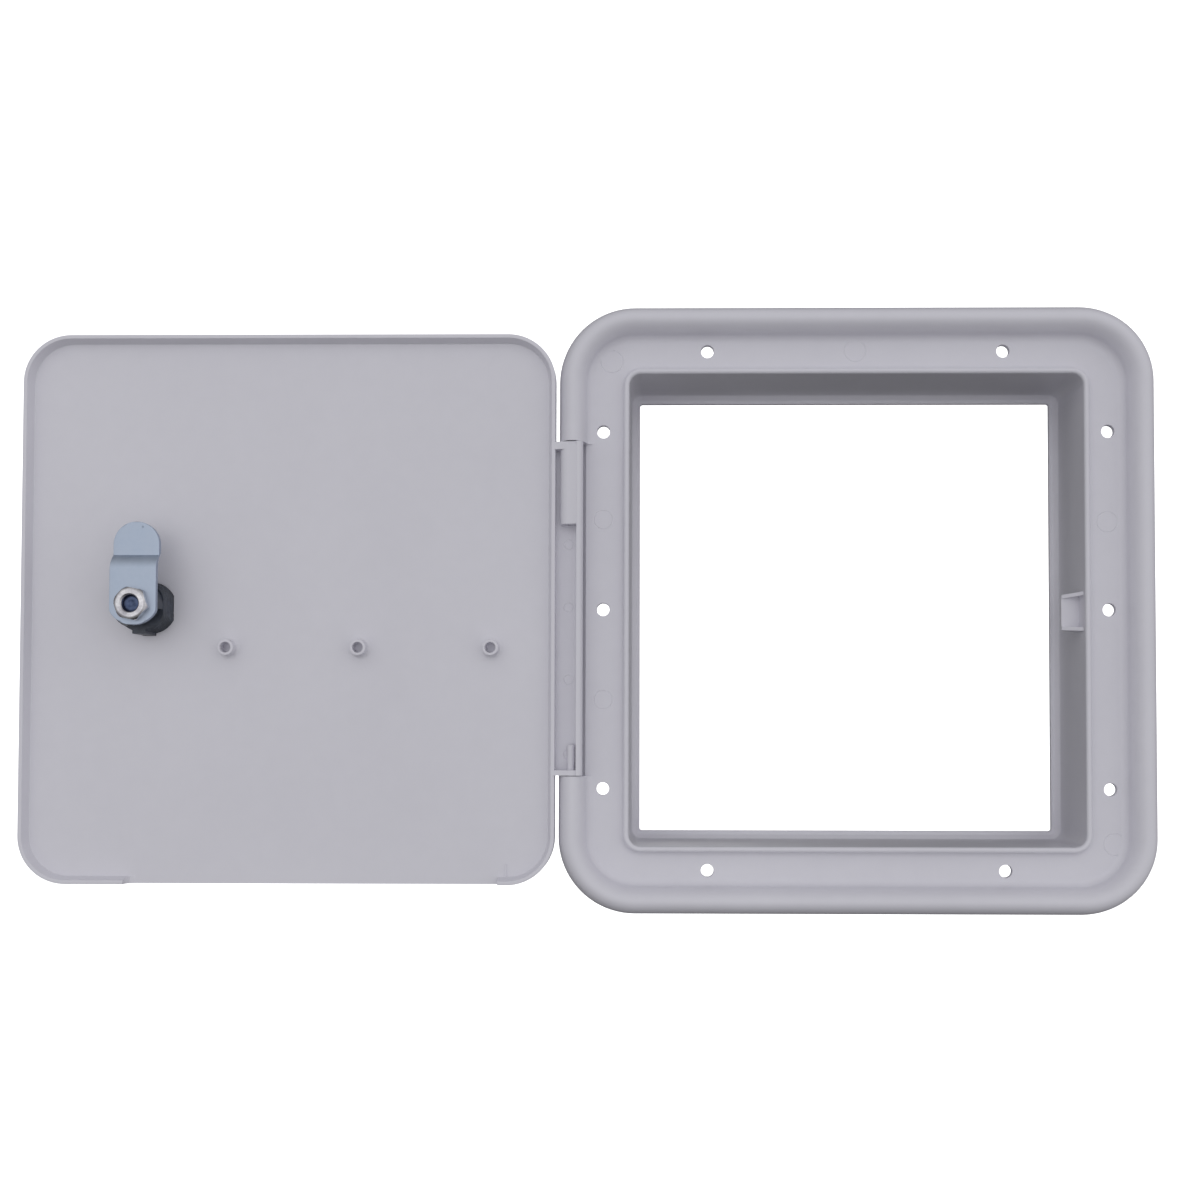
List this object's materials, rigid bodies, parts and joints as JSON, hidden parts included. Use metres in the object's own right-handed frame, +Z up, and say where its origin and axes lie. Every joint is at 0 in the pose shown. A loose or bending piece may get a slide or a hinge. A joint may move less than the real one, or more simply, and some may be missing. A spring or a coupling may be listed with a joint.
{
  "type": "access hatch",
  "caption": "Square moulded access hatch for a caravan or camper wall: a flanged frame with a deep collar, a hinged tray door and a cam lock.",
  "frame": {"origin": "centre of the frame's back face, the flat face that lies on the wall", "axes": "+Z up, +X to the right seen from outside, +Y into the wall along the collar; the viewer outside is at -Y"},
  "size_m": [0.4378, 0.0558, 0.235],
  "materials": {
    "moulding": "satin light grey ABS",
    "pin_steel": "bright drawn",
    "lock_black": "black, slightly satin",
    "plug_metal": "plated zinc casting",
    "washer_metal": "blackened steel",
    "cam_zinc": "bright zinc plate, bluish",
    "nut_chrome": "nickel plated"
  },
  "bodies": {
    "frame": {"frame_moulding": "moulding", "hinge_pin_upper": "pin_steel", "hinge_pin_lower": "pin_steel"},
    "door": {"door_moulding": "moulding", "lock_housing": "lock_black"},
    "cam": {"lock_plug": "plug_metal", "stop_washer": "washer_metal", "lock_cam": "cam_zinc", "cam_nut": "nut_chrome"}
  },
  "joints": [
    {"name": "door_hinge", "type": "hinge", "parent": "frame", "child": "door", "pos_m": [-0.11, -0.00675, 0], "axis": [0, 0, 1], "range_deg": [0, 180]},
    {"name": "lock_turn", "type": "hinge", "parent": "door", "child": "cam", "pos_m": [-0.2735, -0.0135, 0.0003], "axis": [0, -1, 0], "range_deg": [0, 90]}
  ]
}
